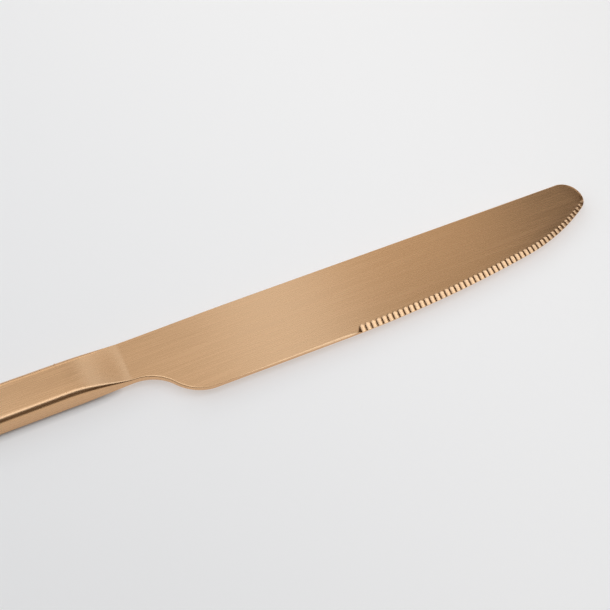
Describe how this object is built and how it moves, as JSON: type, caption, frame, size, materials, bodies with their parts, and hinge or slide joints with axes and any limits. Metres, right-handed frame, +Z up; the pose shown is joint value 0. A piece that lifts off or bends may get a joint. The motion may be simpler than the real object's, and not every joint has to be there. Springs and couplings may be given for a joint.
{
  "type": "table knife",
  "caption": "Table knife with a round-tipped serrated blade, a long swelling bolster and a slim square-edged hollow handle, in satin rose-gold steel.",
  "frame": {"origin": "under the middle of the whole knife, on the surface that it lies on", "axes": "+X from the butt to the tip, -Y from the spine to the cutting edge, +Z up through the thickness, fluted face up"},
  "size_m": [0.23, 0.0208, 0.0068],
  "materials": {
    "coated_blade": "satin, brushed along the blade, rose-gold coating",
    "coated_handle": "satin, brushed along the handle, rose-gold coating",
    "coated_weld": "ground flush, rose-gold coating",
    "braze": "ground flush, rose-gold coating",
    "cement": "cast, matt"
  },
  "bodies": {
    "root": {"blade": "coated_blade", "upper_handle_shell": "coated_handle", "lower_handle_shell": "coated_handle", "seam_weld": "coated_weld", "bolster_braze": "braze", "tang_cement": "cement"}
  },
  "joints": []
}
